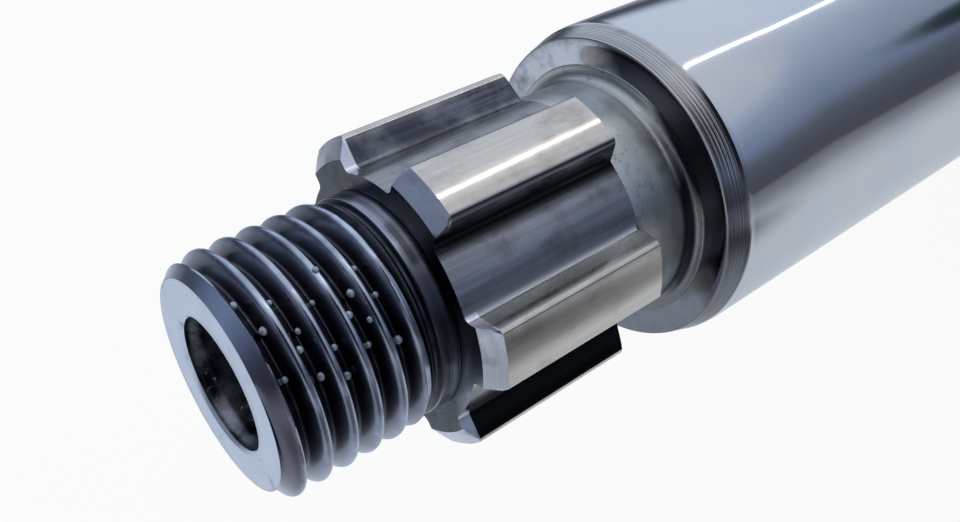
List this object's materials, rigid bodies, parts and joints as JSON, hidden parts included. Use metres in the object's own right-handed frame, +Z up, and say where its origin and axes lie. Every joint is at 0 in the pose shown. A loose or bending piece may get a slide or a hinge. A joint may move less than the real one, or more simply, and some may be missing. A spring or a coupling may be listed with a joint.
{
  "type": "ball screw assembly",
  "caption": "Hollow ball screw with a threaded and splined drive end, a flanged recirculating ball nut with return tubes, and a floating roller-bearing support at its tail.",
  "frame": {"origin": "centre of the drive-end face, where the coolant bore opens", "axes": "+X along the screw from the drive end to the tail, +Z up through the nut's return tubes"},
  "size_m": [0.503, 0.15, 0.16],
  "materials": {
    "screw_steel": "turned and ground hardened steel with an oil film",
    "nut_steel": "ground hardened steel",
    "clamp_steel": "black-oxide steel",
    "screw_black": "black-oxide steel",
    "nipple_brass": "machined brass",
    "bearing_steel": "ground bearing steel",
    "cage_brass": "machined brass",
    "roller_steel": "polished bearing steel",
    "spring_steel": "phosphated spring steel",
    "housing_iron": "machined cast iron",
    "seal_rubber": "nitrile rubber",
    "cover_steel": "turned steel",
    "ball_steel": "polished bearing balls",
    "tube_steel": "bent stainless tube",
    "wiper_plastic": "natural acetal"
  },
  "bodies": {
    "support": {"support_housing": "housing_iron", "support_cover": "cover_steel", "cover_screws": "screw_black", "housing_seal": "seal_rubber", "bearing_outer_ring": "bearing_steel"},
    "screw": {"screw_shaft": "screw_steel", "bearing_inner_ring": "bearing_steel", "journal_snap_ring": "spring_steel"},
    "nut": {"nut_body": "nut_steel", "tube_clamp": "clamp_steel", "tube_clamp_screws": "screw_black", "grease_nipple": "nipple_brass", "grease_port_plug": "screw_black", "ball_train_front": "ball_steel", "ball_train_rear": "ball_steel", "return_tube_front": "tube_steel", "return_tube_rear": "tube_steel", "wiper_front": "wiper_plastic", "wiper_rear": "wiper_plastic"},
    "cage": {"bearing_cage": "cage_brass", "bearing_rollers": "roller_steel"}
  },
  "joints": [
    {"name": "screw_turn", "type": "hinge", "parent": "support", "child": "screw", "pos_m": [0.467, 0, 0], "axis": [1, 0, 0], "range_deg": [-898, 1438]},
    {"name": "nut_travel", "type": "slide", "parent": "support", "child": "nut", "axis": [1, 0, 0], "range_m": [-0.08, 0.05]},
    {"name": "cage_turn", "type": "hinge", "parent": "support", "child": "cage", "pos_m": [0.467, 0, 0], "axis": [1, 0, 0], "range_deg": [-370, 590]}
  ],
  "couplings": [
    {"joint": "nut_travel", "follows": "screw_turn", "m_per_rad": -0.0031831},
    {"joint": "cage_turn", "follows": "screw_turn", "ratio": 0.40918}
  ]
}
